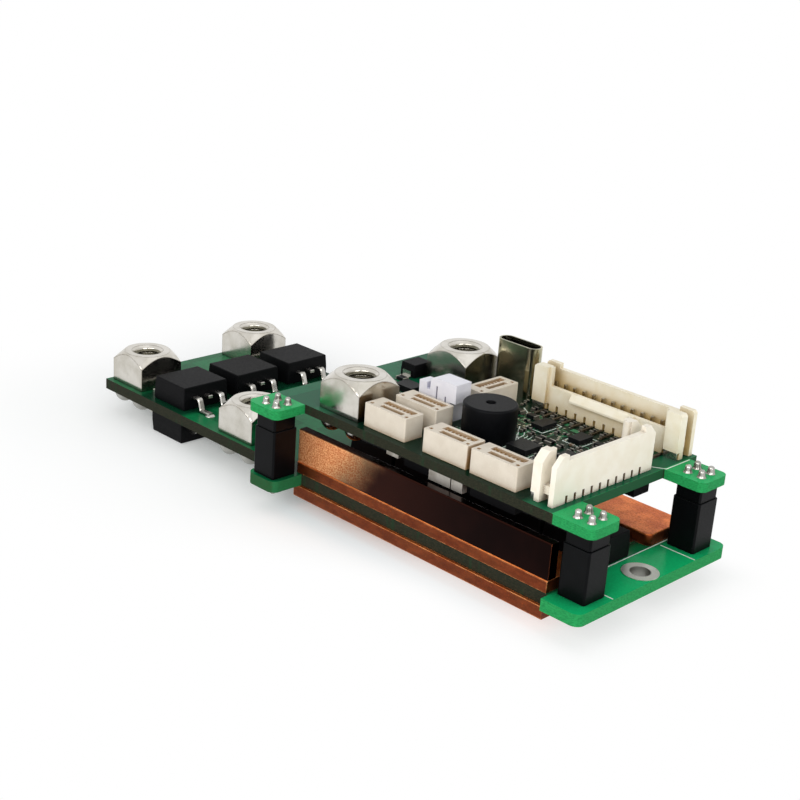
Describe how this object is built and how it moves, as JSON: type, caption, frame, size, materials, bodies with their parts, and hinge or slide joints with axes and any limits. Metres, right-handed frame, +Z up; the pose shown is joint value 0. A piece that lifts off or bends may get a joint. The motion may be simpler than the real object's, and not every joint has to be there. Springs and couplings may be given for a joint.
{
  "type": "battery management board",
  "caption": "Two-level battery management board with copper bars, power transistors, threaded terminals, pin connectors and a mounting hole.",
  "frame": {"origin": "on the standing surface, under the middle of the module's bounding box", "axes": "+X along the length towards the connector end, +Y to the back, +Z up"},
  "size_m": [0.119, 0.0514, 0.0281],
  "materials": {
    "green_board": "semi-gloss solder mask",
    "copper": "bare copper, slightly tarnished",
    "tinned_terminal": "bright tin plate",
    "tinned_lead": "satin tin plate",
    "black_package": "fine matte moulding",
    "cream_plastic": "satin moulding",
    "white_plastic": "satin moulding",
    "dark_steel": "polished steel",
    "solder": "shiny solder"
  },
  "bodies": {
    "root": {"buzzer": "black_package", "control_chips": "black_package", "control_terminal_1": "tinned_terminal", "control_terminal_2": "tinned_terminal", "diode_body": "black_package", "diode_leads": "tinned_lead", "front_copper_bar": "copper", "front_copper_rail": "copper", "inner_transistor_bodies": "black_package", "inner_transistor_metal": "tinned_lead", "left_transistor_body_1": "black_package", "left_transistor_body_2": "black_package", "left_transistor_body_3": "black_package", "left_transistor_metal_1": "tinned_lead", "left_transistor_metal_2": "tinned_lead", "left_transistor_metal_3": "tinned_lead", "lower_board": "green_board", "lower_front_copper_bar": "copper", "lower_inner_transistor_bodies": "black_package", "lower_inner_transistor_metal": "tinned_lead", "lower_left_transistor_bodies": "black_package", "lower_left_transistor_metal": "tinned_lead", "lower_rear_copper_bar": "copper", "mounting_hole_ring": "solder", "pillar_header_base_1": "black_package", "pillar_header_base_2": "black_package", "pillar_header_base_3": "black_package", "pillar_header_base_4": "black_package", "pillar_pins": "tinned_lead", "pillar_socket_1": "black_package", "pillar_socket_2": "black_package", "pillar_socket_3": "black_package", "pillar_socket_4": "black_package", "power_terminal_1": "tinned_terminal", "power_terminal_2": "tinned_terminal", "power_terminal_3": "tinned_terminal", "rear_copper_bar": "copper", "rear_header_housing": "cream_plastic", "rear_header_pins": "tinned_lead", "rear_header_solder_tabs": "tinned_lead", "side_header_housing": "cream_plastic", "side_header_pins": "tinned_lead", "side_header_solder_tabs": "tinned_lead", "small_chip_parts": "black_package", "small_connector_1": "cream_plastic", "small_connector_2": "cream_plastic", "small_connector_3": "cream_plastic", "small_connector_4": "cream_plastic", "small_connector_5": "cream_plastic", "small_connector_contacts": "tinned_lead", "socket_tails": "tinned_lead", "terminal_solder": "solder", "underside_part_bodies": "black_package", "underside_part_terminals": "tinned_lead", "upper_board": "green_board", "usb_shell": "dark_steel", "usb_tongue": "black_package", "white_connector_housing": "white_plastic", "white_connector_pins": "tinned_lead"}
  },
  "joints": []
}
